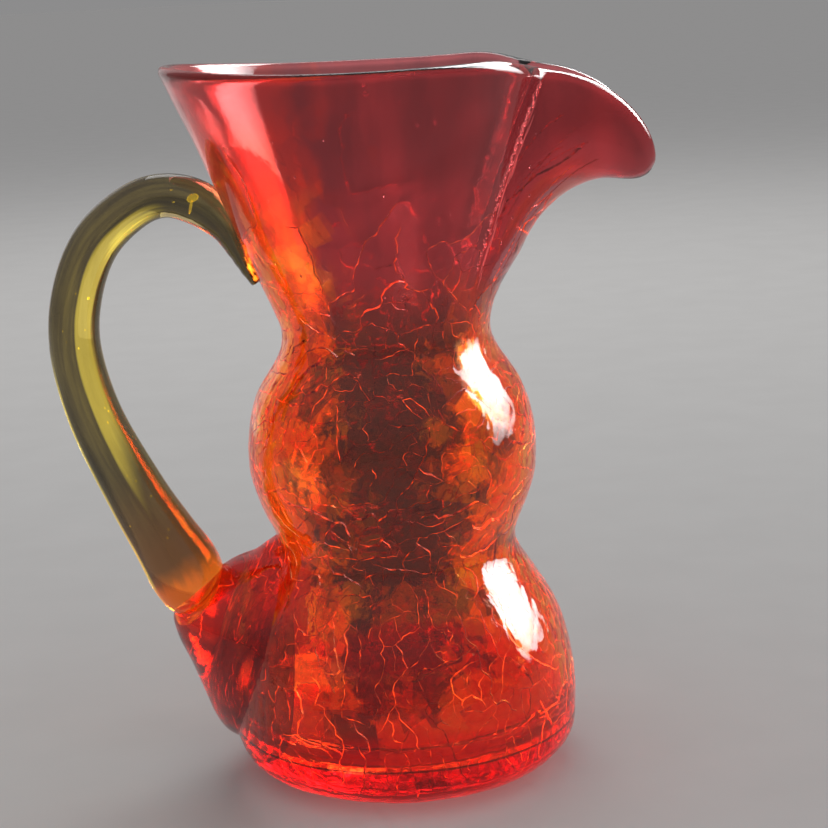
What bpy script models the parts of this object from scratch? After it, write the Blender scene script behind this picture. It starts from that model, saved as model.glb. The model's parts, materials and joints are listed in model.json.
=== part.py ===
"""Crackle glass pitcher: a blown vessel with a pulled pouring lip, the gather of glass pressed on its
lower lobe, and the solid rod handle drawn up out of that gather and folded down on the mouth.

Blender 4.5, metres, +Z up. The origin is the centre of the flat underside, on the vessel's axis.
The pouring lip points along +X and the handle along -X.
"""

from math import cos, pi, radians, sin

import bmesh
import bpy
import numpy as np

MM = 0.001
GAP = 0.3 * MM  # left between fused pieces, so that each stays a solid of its own
WELD = 0.01 * MM  # points closer than this are one

# Vessel: outer radius and height of the turned part, from the underside up to the upper waist.
TURNED_OUTLINE = [
    (35.7, 0.0), (44.5, 2.9), (50.5, 8.7), (52.0, 18.6), (51.1, 33.2), (46.8, 47.8), (40.4, 58.9),
    (36.2, 66.1), (35.6, 70.7), (37.2, 75.8), (39.9, 81.8), (42.4, 91.2), (42.3, 103.1),
    (39.1, 115.5), (33.6, 124.5), (31.1, 129.5), (30.7, 133.0),
]  # fmt: skip
WALL = 3.4 * MM
BASE_THICKNESS = 11.0 * MM
INNER_FLOOR_OUTLINE = [(0.0, 0.0), (25.0, 0.2), (38.0, 2.2), (44.6, 7.0)]  # from the floor's centre, up
FLOOR_CLEARANCE = 2.0 * MM  # height between the floor's edge and the inner wall's first point
WAIST_RADIUS = 30.7 * MM
WAIST_HEIGHT = 133.0 * MM
TURNING_STEPS = 48
LIP_STEPS = 4

# Mouth: shaped from a straight collar above the waist.
COLLAR_HEIGHT = 75.0 * MM
COLLAR_STEPS = 12
LIP_HEIGHT = 207.7 * MM  # where the rounding of the lip begins
LIP_SIDE_RADIUS = 49.0 * MM
LIP_BACK_RADIUS = 61.0 * MM
BACK_REACH_POWER = 3  # how sharply the lip's reach grows towards the back
LIP_BACK_RISE = 2.0 * MM
BACK_RISE_POWER = 6
LIP_SIDE_DIP = 1.2 * MM
LIP_FRONT_DROP = 3.0 * MM  # how far the lip has sunk where it meets the spout's creases
FLARE_ONSET = 12.0
FLARE_HOLLOW = 0.05  # share of the flare by which its middle hangs back
SPOUT_TURN = radians(45)  # half the collar's turn that is drawn out into the spout
CREASE_TURN_AT_LIP = radians(18)
CREASE_BEND = 1.3  # more than 1 keeps the creases apart for longer above the waist
SPOUT_BLEND = 0.35  # share of the rise over which the flare gives way to the spout
FRONT_DROP_TURN = radians(50)
SPOUT_UNDERSIDE = [
    (30.7, 133.0), (33.3, 141.0), (38.5, 151.8), (44.6, 162.3), (52.7, 169.7), (63.0, 173.4),
    (73.2, 172.9), (77.7, 174.0), (79.6, 176.4),
]  # fmt: skip
SPOUT_ROUNDNESS = 1.1  # 1 makes the lip's side view an ellipse, more a straighter slope
SPOUT_BLUNTNESS = 1.5  # more makes the channel flatter underneath
SPOUT_THINNING = 0.5  # share of the wall that pulling takes away at the spout's tip
SKIN_STEP = 1e-4  # small turn and rise between the points that give the skin's slope

# Handle: centre line (outward from the axis, height) and radius, from the folded end down.
HANDLE_LINE = [
    (37.4, 148.3, 1.6), (39.4, 152.4, 2.6), (42.0, 158.5, 3.7), (45.4, 166.0, 5.4), (52.5, 172.5, 6.6),
    (62.1, 175.1, 6.4), (71.8, 172.2, 6.7), (83.0, 162.5, 7.1), (89.6, 148.0, 7.4), (91.5, 131.5, 7.6),
    (87.1, 110.4, 8.1), (77.1, 87.3, 9.1), (70.0, 73.5, 10.1), (64.3, 62.5, 11.2), (61.5, 53.5, 9.2),
    (60.6, 46.5, 4.0),
]  # fmt: skip
HANDLE_STEPS = 3  # points on the line for each listed one

# Gather: outer reach, half width and height of its level sections, from the bottom up.
GATHER_SECTIONS = [
    (51.0, 12.0, 8.8), (55.6, 20.0, 12.2), (58.6, 27.0, 17.5), (61.2, 31.0, 25.0), (64.4, 32.0, 34.0),
    (68.0, 30.5, 43.0), (68.2, 27.5, 50.5), (60.0, 21.0, 58.5), (50.5, 14.5, 64.8), (43.4, 11.5, 67.4),
    (39.2, 9.5, 70.0), (36.6, 8.0, 71.6),
]  # fmt: skip
GATHER_CENTRE = 26.0 * MM  # the sections' centres, inside the vessel
GATHER_BACK = 8.0 * MM
GATHER_POINTED = 1.6  # exponent of the sections: 2 is an ellipse, 1 a diamond
GATHER_POINTS = 40


def smooth_line(points, steps):
    """Points on a smooth curve through the given ones, steps of them for each listed point."""
    points = np.asarray(points, float)
    ends = np.vstack([2 * points[0] - points[1], points, 2 * points[-1] - points[-2]])
    along = np.linspace(0, 1, steps, endpoint=False)[:, None]
    pieces = []
    for before, here, there, beyond in zip(ends, ends[1:], ends[2:], ends[3:]):
        leaving, arriving = (there - before) / 2, (beyond - here) / 2
        pieces.append(
            here * (2 * along**3 - 3 * along**2 + 1)
            + leaving * (along**3 - 2 * along**2 + along)
            + there * (3 * along**2 - 2 * along**3)
            + arriving * (along**3 - along**2)
        )
    return np.vstack(pieces + [points[-1:]])


def offset_line(line, distance):
    """The line of (radius, height) points moved sideways, towards the axis on a wall that runs up."""
    run = np.gradient(line, axis=0)
    run /= np.linalg.norm(run, axis=1)[:, None]
    return line + distance * np.column_stack([-run[:, 1], run[:, 0]])


def collar_line(radius):
    """The straight collar above the waist, upward from just over the waist."""
    rise = np.linspace(0, COLLAR_HEIGHT, COLLAR_STEPS + 1)[1:]
    return np.column_stack([np.full(len(rise), radius), WAIST_HEIGHT + rise])


def blank_profile():
    """The blank's closed section, up the inside and down the outside."""
    outside = smooth_line(TURNED_OUTLINE, 2) * MM
    floor = smooth_line(INNER_FLOOR_OUTLINE, 2) * MM + (0, BASE_THICKNESS)
    inside = offset_line(outside, WALL)
    inside = inside[inside[:, 1] > floor[-1, 1] + FLOOR_CLEARANCE]
    round_lip = [
        (
            WAIST_RADIUS - WALL / 2 - WALL / 2 * cos(pi * i / LIP_STEPS),
            WAIST_HEIGHT + COLLAR_HEIGHT + WALL / 2 * sin(pi * i / LIP_STEPS),
        )
        for i in range(1, LIP_STEPS)
    ]
    up = [floor, inside, collar_line(WAIST_RADIUS - WALL), round_lip]
    down = [collar_line(WAIST_RADIUS)[::-1], outside[::-1], [(0, 0)]]
    return np.vstack(up + down)


def filling_profile():
    """The section of a filled vessel, larger all round by the gap, for cutting what lies against it."""
    outside = offset_line(smooth_line(TURNED_OUTLINE, 2) * MM, -GAP)
    collar = collar_line(WAIST_RADIUS + GAP)[::-1]
    return np.vstack([[(0, WAIST_HEIGHT + COLLAR_HEIGHT)], collar, outside[::-1], [(0, -GAP)]])


def lip_round_part(turn):
    """The lip's radius and height outside the spout, by the turn from the spout round to the back."""
    backness = (1 - np.cos(turn)) / 2
    near_spout = np.clip((FRONT_DROP_TURN - np.abs(turn)) / (FRONT_DROP_TURN - CREASE_TURN_AT_LIP), 0, 1)
    radius = LIP_SIDE_RADIUS + (LIP_BACK_RADIUS - LIP_SIDE_RADIUS) * backness**BACK_REACH_POWER
    sink = LIP_FRONT_DROP * near_spout**2 * (3 - 2 * near_spout)
    dip = LIP_SIDE_DIP * np.sin(turn) ** 2 * backness
    return radius, LIP_HEIGHT + LIP_BACK_RISE * backness**BACK_RISE_POWER - dip - sink


def flared_wall(turn, rise):
    """The mouth's outer skin outside the spout: a flare from the waist's circle to the lip."""
    lip_radius, lip_height = lip_round_part(turn)
    flare = rise * (1 - np.exp(-FLARE_ONSET * rise)) - FLARE_HOLLOW * np.sin(pi * rise) * rise
    radius = WAIST_RADIUS + (lip_radius - WAIST_RADIUS) * flare
    height = WAIST_HEIGHT + (lip_height - WAIST_HEIGHT) * rise
    return np.stack([radius * np.cos(turn), radius * np.sin(turn), height], axis=-1)


def spout_underside(rise):
    """The spout's lowest line, by the share of its length from the waist to the tip."""
    line = smooth_line(SPOUT_UNDERSIDE, 8) * MM
    length = np.concatenate([[0], np.cumsum(np.linalg.norm(np.diff(line, axis=0), axis=1))])
    share = length / length[-1]
    return np.interp(rise, share, line[:, 0]), np.interp(rise, share, line[:, 1])


def mouth_skin(turn, rise):
    """The mouth's outer skin: turn is the collar's, from 0 at the spout to pi at the back, and rise
    goes from 0 at the waist to 1 at the lip."""
    side, turn = np.where(turn < 0, -1.0, 1.0), np.abs(turn)
    crease = SPOUT_TURN + (CREASE_TURN_AT_LIP - SPOUT_TURN) * rise**CREASE_BEND
    across = np.clip(turn / SPOUT_TURN, 0, 1)
    beside = np.clip((turn - SPOUT_TURN) / (pi - SPOUT_TURN), 0, 1)
    wall = flared_wall(across * crease + beside * (pi - crease), rise)
    edge = flared_wall(crease, rise)
    tip_x, tip_z = spout_underside(rise)
    swing = across**SPOUT_BLUNTNESS * pi / 2
    out, up = np.cos(swing) ** SPOUT_ROUNDNESS, np.sin(swing) ** SPOUT_ROUNDNESS
    channel = np.stack(
        [
            edge[..., 0] + (tip_x - edge[..., 0]) * out,
            edge[..., 1] * np.sin(across * pi / 2),
            tip_z + (edge[..., 2] - tip_z) * up,
        ],
        axis=-1,
    )
    drawn = np.clip(rise / SPOUT_BLEND, 0, 1)
    drawn = drawn**2 * (3 - 2 * drawn)
    skin = wall + (channel - wall) * np.where(across < 1, drawn, 0)[..., None]
    skin[..., 1] *= side
    return skin


def shape_mouth(mesh):
    """Moves the points of the blank's collar to the flared mouth with its pulled spout."""
    points = np.empty(len(mesh.vertices) * 3)
    mesh.vertices.foreach_get("co", points)
    points = points.reshape(-1, 3)
    radius, turn = np.hypot(points[:, 0], points[:, 1]), np.arctan2(points[:, 1], points[:, 0])
    moved = (points[:, 2] > WAIST_HEIGHT + WELD) & (radius > WAIST_RADIUS / 2)
    turn, depth = turn[moved], WAIST_RADIUS - radius[moved]
    rise = (points[moved, 2] - WAIST_HEIGHT) / COLLAR_HEIGHT
    over, rise = np.maximum(rise - 1, 0) * COLLAR_HEIGHT, np.minimum(rise, 1)
    depth *= 1 - SPOUT_THINNING * rise * np.cos(np.clip(turn / SPOUT_TURN, -1, 1) * pi / 2) ** 2
    around = mouth_skin(turn + SKIN_STEP, rise) - mouth_skin(turn - SKIN_STEP, rise)
    upward = mouth_skin(turn, rise) - mouth_skin(turn, rise - SKIN_STEP)
    outward = np.cross(around, upward)
    outward /= np.linalg.norm(outward, axis=1)[:, None]
    upward /= np.linalg.norm(upward, axis=1)[:, None]
    points[moved] = mouth_skin(turn, rise) - outward * depth[:, None] + upward * over[:, None]
    mesh.vertices.foreach_set("co", points.ravel())
    mesh.update()


def add_object(name, mesh, collection):
    """A new object in the collection."""
    made = bpy.data.objects.new(name, mesh)
    collection.objects.link(made)
    return made


def evaluated_mesh(source, name):
    """The mesh that an object's modifiers or bevel give, welded; the object is removed."""
    mesh = bpy.data.meshes.new_from_object(source.evaluated_get(bpy.context.evaluated_depsgraph_get()))
    mesh.name = name
    bpy.data.objects.remove(source)
    shape = bmesh.new()
    shape.from_mesh(mesh)
    bmesh.ops.remove_doubles(shape, verts=shape.verts, dist=WELD)
    shape.to_mesh(mesh)
    shape.free()
    return mesh


def turned_mesh(name, profile):
    """A closed turned mesh from a section that starts and ends on the axis."""
    line = bpy.data.meshes.new(name)
    edges = [(i, i + 1) for i in range(len(profile) - 1)]
    line.from_pydata([(radius, 0, height) for radius, height in profile], edges, [])
    blank = add_object(name, line, bpy.context.scene.collection)
    screw = blank.modifiers.new("turn", "SCREW")
    screw.steps = screw.render_steps = TURNING_STEPS
    screw.use_merge_vertices = True
    screw.merge_threshold = WELD
    bpy.context.view_layer.update()
    return evaluated_mesh(blank, name)


def rod_mesh(name, grow):
    """The handle's rod along its line, with its radius grown by the given amount."""
    route = smooth_line(HANDLE_LINE, HANDLE_STEPS) * MM
    curve = bpy.data.curves.new(name, "CURVE")
    curve.dimensions = "3D"
    curve.bevel_depth = 1.0
    curve.bevel_resolution = 4
    curve.use_fill_caps = True
    spline = curve.splines.new("POLY")
    spline.points.add(len(route) - 1)
    for point, (reach, height, radius) in zip(spline.points, route):
        point.co = (-reach, 0, height, 1)
        point.radius = radius + grow
    rod = add_object(name, curve, bpy.context.scene.collection)
    bpy.context.view_layer.update()
    return evaluated_mesh(rod, name)


def gather_mesh(name):
    """The pressed gather: a loft of level sections, pointed outward and rounded at the sides."""
    shape = bmesh.new()
    rings = []
    for reach, half_width, height in smooth_line(GATHER_SECTIONS, 2) * MM:
        ring = []
        for i in range(GATHER_POINTS):
            turn = 2 * pi * i / GATHER_POINTS
            out, across = cos(turn), sin(turn)
            length = reach - GATHER_CENTRE if out > 0 else GATHER_BACK
            x = GATHER_CENTRE + length * abs(out) ** (2 / GATHER_POINTED) * (1 if out > 0 else -1)
            y = half_width * abs(across) ** (2 / GATHER_POINTED) * (1 if across > 0 else -1)
            ring.append(shape.verts.new((-x, y, height)))
        rings.append(ring)
    for lower, upper in zip(rings, rings[1:]):
        for i in range(GATHER_POINTS):
            j = (i + 1) % GATHER_POINTS
            shape.faces.new((lower[i], upper[i], upper[j], lower[j]))
    shape.faces.new(rings[0])
    shape.faces.new(reversed(rings[-1]))
    bmesh.ops.recalc_face_normals(shape, faces=shape.faces)
    mesh = bpy.data.meshes.new(name)
    shape.to_mesh(mesh)
    shape.free()
    return mesh


def glass(name, colour, roughness):
    """A clear coloured glass."""
    material = bpy.data.materials.new(name)
    material.use_nodes = True
    shader = material.node_tree.nodes["Principled BSDF"]
    shader.inputs["Base Color"].default_value = (*colour, 1)
    shader.inputs["Roughness"].default_value = roughness
    shader.inputs["Metallic"].default_value = 0.0
    shader.inputs["Transmission Weight"].default_value = 1.0
    shader.inputs["IOR"].default_value = 1.5
    return material


def finish(piece, material):
    """Gives a piece its glass and smooth shading."""
    piece.data.materials.clear()
    piece.data.materials.append(material)
    piece.data.shade_smooth()
    piece.data.set_sharp_from_angle(angle=radians(50))


def cut(piece, cutter):
    """Takes the cutter's space out of a piece."""
    boolean = piece.modifiers.new(f"clear_of_{cutter.name}", "BOOLEAN")
    boolean.operation = "DIFFERENCE"
    boolean.solver = "EXACT"
    boolean.object = cutter


def make_pitcher():
    """Builds the three pieces and the cutters that keep them apart."""
    for old in list(bpy.data.objects):
        bpy.data.objects.remove(old)
    pitcher = bpy.data.collections.new("pitcher")
    cutters = bpy.data.collections.new("cutters")
    for collection in (pitcher, cutters):
        bpy.context.scene.collection.children.link(collection)

    vessel = add_object("vessel_body", turned_mesh("vessel_body", blank_profile()), pitcher)
    shape_mouth(vessel.data)
    handle = add_object("handle", rod_mesh("handle", 0), pitcher)
    gather = add_object("handle_gather", gather_mesh("handle_gather"), pitcher)

    filling = add_object("vessel_filling", turned_mesh("vessel_filling", filling_profile()), cutters)
    shape_mouth(filling.data)
    rod_space = add_object("rod_space", rod_mesh("rod_space", GAP), cutters)
    for cutter in (filling, rod_space):
        cutter.hide_render = True
        cutter.display_type = "WIRE"

    cut(handle, filling)
    cut(gather, filling)
    cut(gather, rod_space)
    finish(vessel, glass("ruby_crackle_glass", (0.75, 0.03, 0.01), 0.05))
    finish(handle, glass("amber_glass", (0.82, 0.62, 0.12), 0.03))
    finish(gather, glass("red_glass", (0.7, 0.04, 0.01), 0.04))


make_pitcher()
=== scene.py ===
"""The looks of a crackle glass pitcher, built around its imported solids: a blown ruby vessel with a pulled
spout, the red gather pressed on its lower lobe and the amber rod drawn up from it into a handle.

Blender 4.5, metres, +Z up; the spout points along +X and the handle along -X.
"""

import json
import random
from math import cos, pi, radians, sin, tau

import bpy
import numpy as np
from mathutils import Matrix, Vector
from mathutils.kdtree import KDTree

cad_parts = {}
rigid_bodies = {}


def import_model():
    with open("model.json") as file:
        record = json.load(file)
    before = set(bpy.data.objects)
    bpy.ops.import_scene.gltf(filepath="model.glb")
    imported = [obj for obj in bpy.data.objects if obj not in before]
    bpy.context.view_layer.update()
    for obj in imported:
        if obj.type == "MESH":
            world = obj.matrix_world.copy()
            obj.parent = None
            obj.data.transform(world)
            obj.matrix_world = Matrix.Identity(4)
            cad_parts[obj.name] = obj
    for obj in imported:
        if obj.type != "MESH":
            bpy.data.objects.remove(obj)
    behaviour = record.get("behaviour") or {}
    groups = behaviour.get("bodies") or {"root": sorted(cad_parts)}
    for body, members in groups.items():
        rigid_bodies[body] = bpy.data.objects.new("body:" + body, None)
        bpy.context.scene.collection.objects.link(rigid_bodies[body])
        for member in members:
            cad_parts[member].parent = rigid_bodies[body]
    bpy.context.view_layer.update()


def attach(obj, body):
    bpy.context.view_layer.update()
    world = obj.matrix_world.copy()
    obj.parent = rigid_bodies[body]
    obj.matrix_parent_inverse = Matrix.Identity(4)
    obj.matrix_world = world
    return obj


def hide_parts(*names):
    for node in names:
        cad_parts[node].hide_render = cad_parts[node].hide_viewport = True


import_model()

MM = 0.001

# Vessel: outer radius and height of the turned part, from the underside up to the upper waist, in mm.
TURNED_OUTLINE = [
    (35.7, 0.0), (44.5, 2.9), (50.5, 8.7), (52.0, 18.6), (51.1, 33.2), (46.8, 47.8), (40.4, 58.9),
    (36.2, 66.1), (35.6, 70.7), (37.2, 75.8), (39.9, 81.8), (42.4, 91.2), (42.3, 103.1),
    (39.1, 115.5), (33.6, 124.5), (31.1, 129.5), (30.7, 133.0),
]
WALL = 3.4 * MM
BASE_THICKNESS = 11.0 * MM
INNER_FLOOR_OUTLINE = [(0.0, 0.0), (25.0, 0.2), (38.0, 2.2), (44.6, 7.0)]
FLOOR_CLEARANCE = 2.0 * MM
WAIST_RADIUS = 30.7 * MM
WAIST_HEIGHT = 133.0 * MM
PONTIL_RADIUS = 11.0 * MM
PONTIL_DEPTH = 0.7 * MM
PONTIL_EDGE = 1.4  # where the hollow ends, in pontil radii; one radius further in it has its full depth

# Mouth: the flare, its lip and the spout's channel.
COLLAR_HEIGHT = 75.0 * MM
LIP_HEIGHT = 207.7 * MM
LIP_SIDE_RADIUS = 49.0 * MM
LIP_BACK_RADIUS = 61.0 * MM
BACK_REACH_POWER = 3
LIP_BACK_RISE = 2.0 * MM
BACK_RISE_POWER = 6
LIP_SIDE_DIP = 1.2 * MM
LIP_FRONT_DROP = 3.0 * MM
FLARE_ONSET = 12.0
FLARE_HOLLOW = 0.05
SPOUT_TURN = radians(45)
CREASE_TURN_AT_LIP = radians(18)
CREASE_BEND = 1.3
SPOUT_BLEND = 0.35
FRONT_DROP_TURN = radians(50)
SPOUT_UNDERSIDE = [
    (30.7, 133.0), (33.3, 141.0), (38.5, 151.8), (44.6, 162.3), (52.7, 169.7), (63.0, 173.4),
    (73.2, 172.9), (77.7, 174.0), (79.6, 176.4),
]
SPOUT_ROUNDNESS = 1.1
SPOUT_BLUNTNESS = 1.5
SPOUT_THINNING = 0.5
CREASE_PASSES = 6

# The spout's lean: how far its sides are lifted and lowered, the reach and height over which that sets
# in, and the width over which it turns over.
SPOUT_LEAN = 1.3 * MM
NEAR_LIP_SLOPE = 2.6 * MM
LEAN_REACH = (12 * MM, 50 * MM)
LEAN_HEIGHT = (150 * MM, 200 * MM)
LEAN_WIDTH = 9 * MM

# Handle: centre line (outward from the axis, height) and radius, from the folded end down, in mm.
HANDLE_LINE = [
    (37.4, 148.3, 1.6), (39.4, 152.4, 2.6), (42.0, 158.5, 3.7), (45.4, 166.0, 5.4), (52.5, 172.5, 6.6),
    (62.1, 175.1, 6.4), (71.8, 172.2, 6.7), (83.0, 162.5, 7.1), (89.6, 148.0, 7.4), (91.5, 131.5, 7.6),
    (87.1, 110.4, 8.1), (77.1, 87.3, 9.1), (70.0, 73.5, 10.1), (64.3, 62.5, 11.2), (61.5, 53.5, 9.2),
    (60.6, 46.5, 4.0),
]
HANDLE_SIDES = 48
HANDLE_PITCH = 0.9 * MM
TAIL_LENGTH = 26 * MM
TAIL_WIDENING = 0.75
TAIL_THINNING = 0.22
TAIL_RIDGE = 0.03
RIDGE_PITCH = 3.4 * MM
RIDGED_TO = (10 * MM, 16 * MM)  # the ridges fade out between these distances from the tail's end

# Gather: outer reach, half width and height of its level sections, from the bottom up, in mm.
GATHER_SECTIONS = [
    (51.0, 12.0, 8.8), (55.6, 20.0, 12.2), (58.6, 27.0, 17.5), (61.2, 31.0, 25.0), (64.4, 32.0, 34.0),
    (68.0, 30.5, 43.0), (68.2, 27.5, 50.5), (60.0, 21.0, 58.5), (50.5, 14.5, 64.8), (43.4, 11.5, 67.4),
    (39.2, 9.5, 70.0), (36.6, 8.0, 71.6),
]
GATHER_CENTRE = 26.0 * MM
GATHER_BACK = 8.0 * MM
GATHER_POINTED = 1.6
GATHER_SIDES = 96

# Fineness of the meshes.
CURVE_STEPS = 12
COLUMNS = 320
OUTER_PITCH = 1.05 * MM
INNER_PITCH = 4.0 * MM
UNDERSIDE_RINGS = 9
LIP_STEPS = 8
WAIST_ROWS = 12  # rows of the mouth above the waist whose folds are left as they are
FLARE_STRETCH = 1.12  # the flared wall's length for each unit of its height
MOUTH_ROWS = round(COLLAR_HEIGHT * FLARE_STRETCH / OUTER_PITCH)
INNER_MOUTH_ROWS = round(COLLAR_HEIGHT / INNER_PITCH)
SKIN_STEP = 1e-4  # the small turn or rise by which the mouth's directions are taken
FUSED = 0.5 * MM  # how far the handle and its gather sink into the vessel's skin


# -------- lines and surfaces


def smooth_line(points, steps):
    """Points on a smooth curve through the given ones, steps of them for each listed point."""
    points = np.asarray(points, float)
    ends = np.vstack([2 * points[0] - points[1], points, 2 * points[-1] - points[-2]])
    along = np.linspace(0, 1, steps, endpoint=False)[:, None]
    pieces = []
    for before, here, there, beyond in zip(ends, ends[1:], ends[2:], ends[3:]):
        leaving, arriving = (there - before) / 2, (beyond - here) / 2
        pieces.append(
            here * (2 * along**3 - 3 * along**2 + 1)
            + leaving * (along**3 - 2 * along**2 + along)
            + there * (3 * along**2 - 2 * along**3)
            + arriving * (along**3 - along**2)
        )
    return np.vstack(pieces + [points[-1:]])


def even_line(points, pitch, passes=0):
    """The line with evenly spaced points, and its corners eased by the given number of passes."""
    lengths = np.concatenate([[0], np.cumsum(np.linalg.norm(np.diff(points[:, :2], axis=0), axis=1))])
    at = np.linspace(0, lengths[-1], max(2, round(lengths[-1] / pitch) + 1))
    line = np.column_stack([np.interp(at, lengths, column) for column in points.T])
    for _ in range(passes):
        line[1:-1] += (line[:-2] + line[2:] - 2 * line[1:-1]) / 4
    return line


def offset_line(line, distance):
    """The line of (radius, height) points moved sideways, towards the axis on a wall that runs up."""
    run = np.gradient(line, axis=0)
    run /= np.linalg.norm(run, axis=1)[:, None]
    return line + distance * np.column_stack([-run[:, 1], run[:, 0]])


def unit(vectors):
    """The vectors at a length of 1."""
    return vectors / np.maximum(np.linalg.norm(vectors, axis=-1, keepdims=True), 1e-12)


def smooth_share(value):
    """0 below 0, 1 above 1 and an even ease between."""
    value = np.clip(value, 0, 1)
    return value**2 * (3 - 2 * value)


def share_between(value, low, high):
    """The eased share of the way from low to high."""
    return smooth_share((value - low) / (high - low))


def turned_line():
    """The turned part's outline, as radius and height."""
    return smooth_line(TURNED_OUTLINE, CURVE_STEPS) * MM


def lip_round_part(turn):
    """The lip's radius and height outside the spout, by the turn from the spout round to the back."""
    backness = (1 - np.cos(turn)) / 2
    near_spout = (FRONT_DROP_TURN - np.abs(turn)) / (FRONT_DROP_TURN - CREASE_TURN_AT_LIP)
    radius = LIP_SIDE_RADIUS + (LIP_BACK_RADIUS - LIP_SIDE_RADIUS) * backness**BACK_REACH_POWER
    dip = LIP_SIDE_DIP * np.sin(turn) ** 2 * backness
    sink = LIP_FRONT_DROP * smooth_share(near_spout)
    return radius, LIP_HEIGHT + LIP_BACK_RISE * backness**BACK_RISE_POWER - dip - sink


def flare(rise):
    """Share of the way from the waist's radius to the lip's."""
    return rise * (1 - np.exp(-FLARE_ONSET * rise)) - FLARE_HOLLOW * np.sin(pi * rise) * rise


def flared_wall(turn, rise):
    """The mouth's outer skin outside the spout."""
    lip_radius, lip_height = lip_round_part(turn)
    radius = WAIST_RADIUS + (lip_radius - WAIST_RADIUS) * flare(rise)
    height = WAIST_HEIGHT + (lip_height - WAIST_HEIGHT) * rise
    return np.stack([radius * np.cos(turn), radius * np.sin(turn), height], axis=-1)


def lean_spout(points, inwardness=0.0):
    """Lifts the far side of the spout a little and lowers the near one, as the glassworker left it. The
    near wall's inner skin, with an inwardness of 1, stays up, so that its lip slopes outward."""
    share = share_between(points[..., 0], *LEAN_REACH) * share_between(points[..., 2], *LEAN_HEIGHT)
    side = np.tanh(points[..., 1] / LEAN_WIDTH)
    lift = np.where(side > 0, SPOUT_LEAN * side, (SPOUT_LEAN - NEAR_LIP_SLOPE * inwardness) * side)
    points[..., 2] += share * lift
    return points


def spout_underside(rise):
    """The spout's lowest line, by the share of its length from the waist to the tip."""
    line = even_line(smooth_line(SPOUT_UNDERSIDE, CURVE_STEPS) * MM, 1 * MM)
    share = np.linspace(0, 1, len(line))
    return np.interp(rise, share, line[:, 0]), np.interp(rise, share, line[:, 1])


def mouth_skin(turn, rise):
    """The mouth's outer skin: turn runs from 0 at the spout to pi at the back and -pi on the other side,
    and rise goes from 0 at the waist to 1 at the lip."""
    side, turn = np.where(turn < 0, -1.0, 1.0), np.abs(turn)
    crease = SPOUT_TURN + (CREASE_TURN_AT_LIP - SPOUT_TURN) * rise**CREASE_BEND
    across = np.clip(turn / SPOUT_TURN, 0, 1)
    beside = np.clip((turn - SPOUT_TURN) / (pi - SPOUT_TURN), 0, 1)
    wall = flared_wall(across * crease + beside * (pi - crease), rise)
    edge = flared_wall(crease, rise)
    tip_x, tip_z = spout_underside(rise)
    swing = across**SPOUT_BLUNTNESS * pi / 2
    out, up = np.cos(swing) ** SPOUT_ROUNDNESS, np.sin(swing) ** SPOUT_ROUNDNESS
    channel = np.stack(
        [
            edge[..., 0] + (tip_x - edge[..., 0]) * out,
            edge[..., 1] * np.sin(across * pi / 2),
            tip_z + (edge[..., 2] - tip_z) * up,
        ],
        axis=-1,
    )
    drawn = np.where(across < 1, smooth_share(rise / SPOUT_BLEND), 0)
    skin = wall + (channel - wall) * drawn[..., None]
    skin[..., 1] *= side
    return skin


def mouth_frame(turn, rise):
    """The mouth's outer skin with its outward and upward directions."""
    skin = mouth_skin(turn, rise)
    around = mouth_skin(turn + SKIN_STEP, rise) - mouth_skin(turn - SKIN_STEP, rise)
    upward = skin - mouth_skin(turn, rise - SKIN_STEP)
    return skin, unit(np.cross(around, upward)), unit(upward)


def outer_radius(turn, height):
    """The vessel's outer radius at a height, away from the spout."""
    line = turned_line()
    lip_radius, lip_height = lip_round_part(turn)
    rise = np.clip((height - WAIST_HEIGHT) / (lip_height - WAIST_HEIGHT), 0, 1)
    above = WAIST_RADIUS + (lip_radius - WAIST_RADIUS) * flare(rise)
    return np.where(height < WAIST_HEIGHT, np.interp(height, line[:, 1], line[:, 0]), above)


# -------- meshes


def add_piece(name, mesh, slot, *nodes):
    """A new piece of the object in place of the named solids."""
    piece = bpy.data.objects.new(name, mesh)
    bpy.context.scene.collection.objects.link(piece)
    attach(piece, "root")
    if nodes:
        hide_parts(*nodes)
    return piece


def mesh_from(name, points, faces):
    """A smooth mesh of the given points and faces."""
    mesh = bpy.data.meshes.new(name)
    mesh.from_pydata(np.asarray(points).tolist(), [], faces)
    mesh.validate()
    mesh.shade_smooth()
    return mesh


def add_values(mesh, name, values):
    """Gives a mesh a named value at each point, for its material to read."""
    mesh.attributes.new(name, "FLOAT", "POINT").data.foreach_set("value", values)


def grid_faces(rows, columns):
    """Faces between rows of points that each close on themselves."""
    faces = []
    for row in range(0, (rows - 1) * columns, columns):
        for here, there in zip(range(columns), [*range(1, columns), 0]):
            faces.append((row + here, row + there, row + columns + there, row + columns + here))
    return faces


def fan(ring, centre):
    """Faces from a ring of points to one point; the ring is listed so that they face outward."""
    return [(here, there, centre) for here, there in zip(ring, ring[1:] + ring[:1])]


def closed_skin(grid, ends=None):
    """Points and outward faces of a body whose rings run from one end point to the other. Without end
    points given, they lie at the middle of the first and the last ring."""
    rows, columns = grid.shape[:2]
    ends = [grid[0].mean(0), grid[-1].mean(0)] if ends is None else ends
    last = (rows - 1) * columns
    faces = grid_faces(rows, columns)
    faces += fan(list(range(columns))[::-1], rows * columns)
    faces += fan(list(range(last, last + columns)), rows * columns + 1)
    return np.vstack([grid.reshape(-1, 3), *ends]), faces


def grid_normals(grid):
    """Outward directions on a grid of rings that are listed upward."""
    around = np.roll(grid, -1, axis=1) - np.roll(grid, 1, axis=1)
    return unit(np.cross(around, np.gradient(grid, axis=0)))


# -------- vessel


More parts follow.
